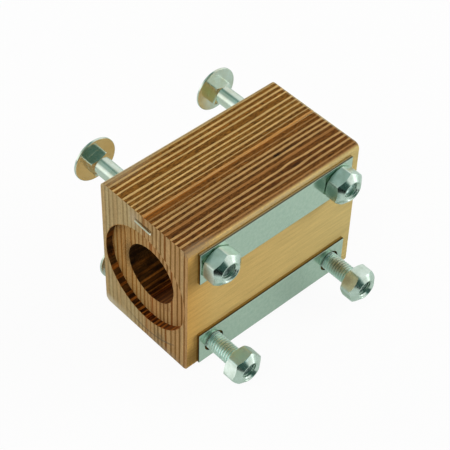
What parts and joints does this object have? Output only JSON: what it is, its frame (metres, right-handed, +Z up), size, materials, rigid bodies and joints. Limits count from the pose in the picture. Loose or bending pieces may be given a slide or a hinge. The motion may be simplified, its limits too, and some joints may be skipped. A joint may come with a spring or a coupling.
{
  "type": "wooden bearing block",
  "caption": "Split shaft bearing block of laminated wood with recessed ends, flat steel straps, and loose carriage bolts with lock nuts.",
  "frame": {"origin": "middle of the shaft bore, on its axis and on the plane where the two halves meet", "axes": "+X along the shaft bore, +Y along the bolts towards their heads, +Z up"},
  "size_m": [0.1116, 0.1191, 0.084],
  "materials": {
    "laminated_wood": "sawn and bored plywood laminate, unvarnished, dark end grain between thin pale plies",
    "zinc_strap": "satin zinc-plated strip steel",
    "zinc_bolt": "bright zinc plate",
    "zinc_nut": "bright zinc plate",
    "staple_wire": "galvanised wire"
  },
  "bodies": {
    "block": {"front_half": "laminated_wood", "rear_half": "laminated_wood", "upper_strap": "zinc_strap", "lower_strap": "zinc_strap", "near_staple": "staple_wire", "far_staple": "staple_wire"},
    "upper_near_fastening": {"upper_near_bolt": "zinc_bolt", "upper_near_nut": "zinc_nut"},
    "upper_far_fastening": {"upper_far_bolt": "zinc_bolt", "upper_far_nut": "zinc_nut"},
    "lower_near_fastening": {"lower_near_bolt": "zinc_bolt", "lower_near_nut": "zinc_nut"},
    "lower_far_fastening": {"lower_far_bolt": "zinc_bolt", "lower_far_nut": "zinc_nut"}
  },
  "joints": [
    {"name": "upper_near_slide", "type": "slide", "parent": "block", "child": "upper_near_fastening", "axis": [0, -1, 0], "range_m": [0, 0.01825]},
    {"name": "upper_far_slide", "type": "slide", "parent": "block", "child": "upper_far_fastening", "axis": [0, -1, 0], "range_m": [0, 0.01825]},
    {"name": "lower_near_slide", "type": "slide", "parent": "block", "child": "lower_near_fastening", "axis": [0, -1, 0], "range_m": [-0.01615, 0.00205]},
    {"name": "lower_far_slide", "type": "slide", "parent": "block", "child": "lower_far_fastening", "axis": [0, -1, 0], "range_m": [-0.01615, 0.00205]}
  ]
}
